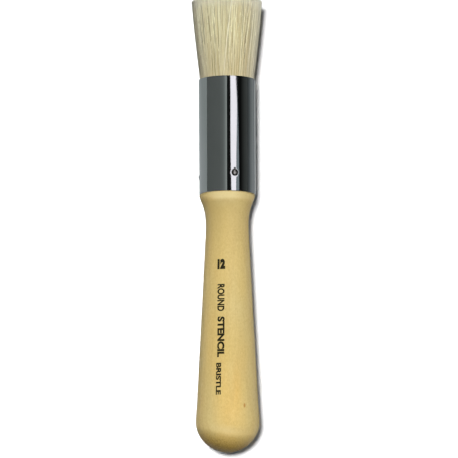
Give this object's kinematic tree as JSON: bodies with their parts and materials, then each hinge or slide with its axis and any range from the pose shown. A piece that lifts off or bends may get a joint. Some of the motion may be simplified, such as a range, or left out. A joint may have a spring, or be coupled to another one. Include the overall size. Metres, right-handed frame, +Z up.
{
  "type": "round stencil brush",
  "caption": "Round stencil brush with a flared flat-cut bristle tuft, a plated metal ferrule held by small domed pins, and a turned wooden handle with a rounded butt.",
  "frame": {"origin": "on the surface that the brush lies on, under the middle of its length", "axes": "+Y along the brush axis towards the bristle tips, +Z up out of the surface, +X to the right seen from the butt end"},
  "size_m": [0.0226, 0.1446, 0.0225],
  "materials": {
    "handle_wood": "satin",
    "ferrule_metal": "polished",
    "bristle": "matte",
    "resin": "gloss",
    "pin_metal": "satin"
  },
  "bodies": {
    "root": {"handle": "handle_wood", "ferrule": "ferrule_metal", "bristle_tuft": "bristle", "resin_setting": "resin", "pin_top": "pin_metal", "pin_under": "pin_metal", "pin_left": "pin_metal"}
  },
  "joints": []
}
